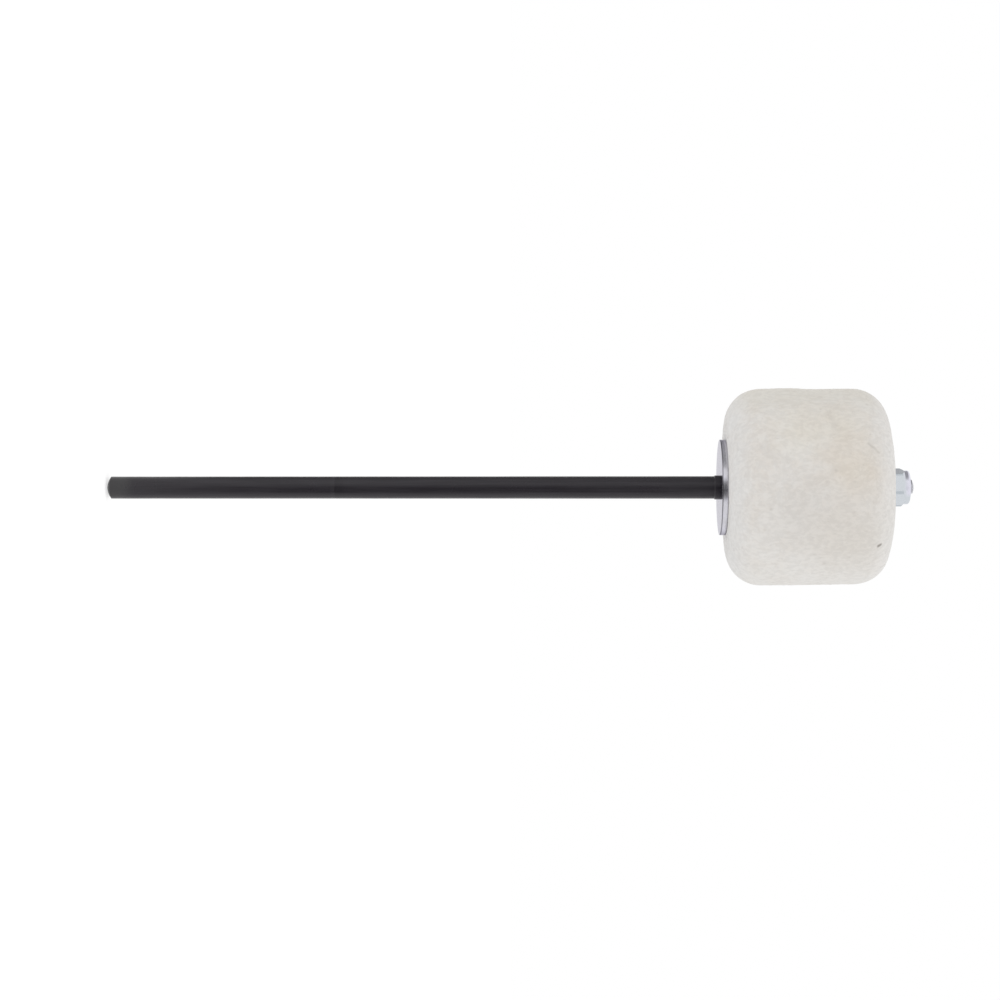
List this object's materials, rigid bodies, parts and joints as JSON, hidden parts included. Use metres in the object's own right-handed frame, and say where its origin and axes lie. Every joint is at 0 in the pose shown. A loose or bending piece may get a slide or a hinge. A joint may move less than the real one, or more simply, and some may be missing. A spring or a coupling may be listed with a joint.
{
  "type": "bass drum beater",
  "caption": "Felt bass drum beater: a straight black rod carries a rounded felt barrel, clamped between flat washers by a lock nut, for the clamp of a drum pedal.",
  "frame": {"origin": "centre of the rod's free end, which goes into the pedal's clamp", "axes": "+Z along the rod, from its free end to the head and the nut; X and Y are square to the rod"},
  "size_m": [0.0556, 0.0556, 0.229],
  "materials": {
    "black_steel": "satin",
    "plated_steel": "satin",
    "felt": "matte",
    "nylon": "satin"
  },
  "bodies": {
    "rod": {"rod": "black_steel"},
    "head": {"rod_side_washer": "plated_steel", "felt_head": "felt"},
    "nut_side_washer": {"nut_side_washer": "plated_steel"},
    "lock_nut": {"lock_nut": "plated_steel", "nylon_insert": "nylon"}
  },
  "joints": [
    {"name": "head_turn", "type": "hinge", "parent": "rod", "child": "head", "pos_m": [0, 0, 0.199], "axis": [0, 0, 1], "continuous": true},
    {"name": "nut_travel", "type": "slide", "parent": "rod", "child": "nut_side_washer", "axis": [0, 0, 1], "range_m": [0, 0.00476]},
    {"name": "nut_turn", "type": "hinge", "parent": "nut_side_washer", "child": "lock_nut", "pos_m": [0, 0, 0.225], "axis": [0, 0, 1], "range_deg": [0, 1620]}
  ],
  "couplings": [
    {"joint": "nut_turn", "follows": "nut_travel", "rad_per_m": 5936.9}
  ]
}
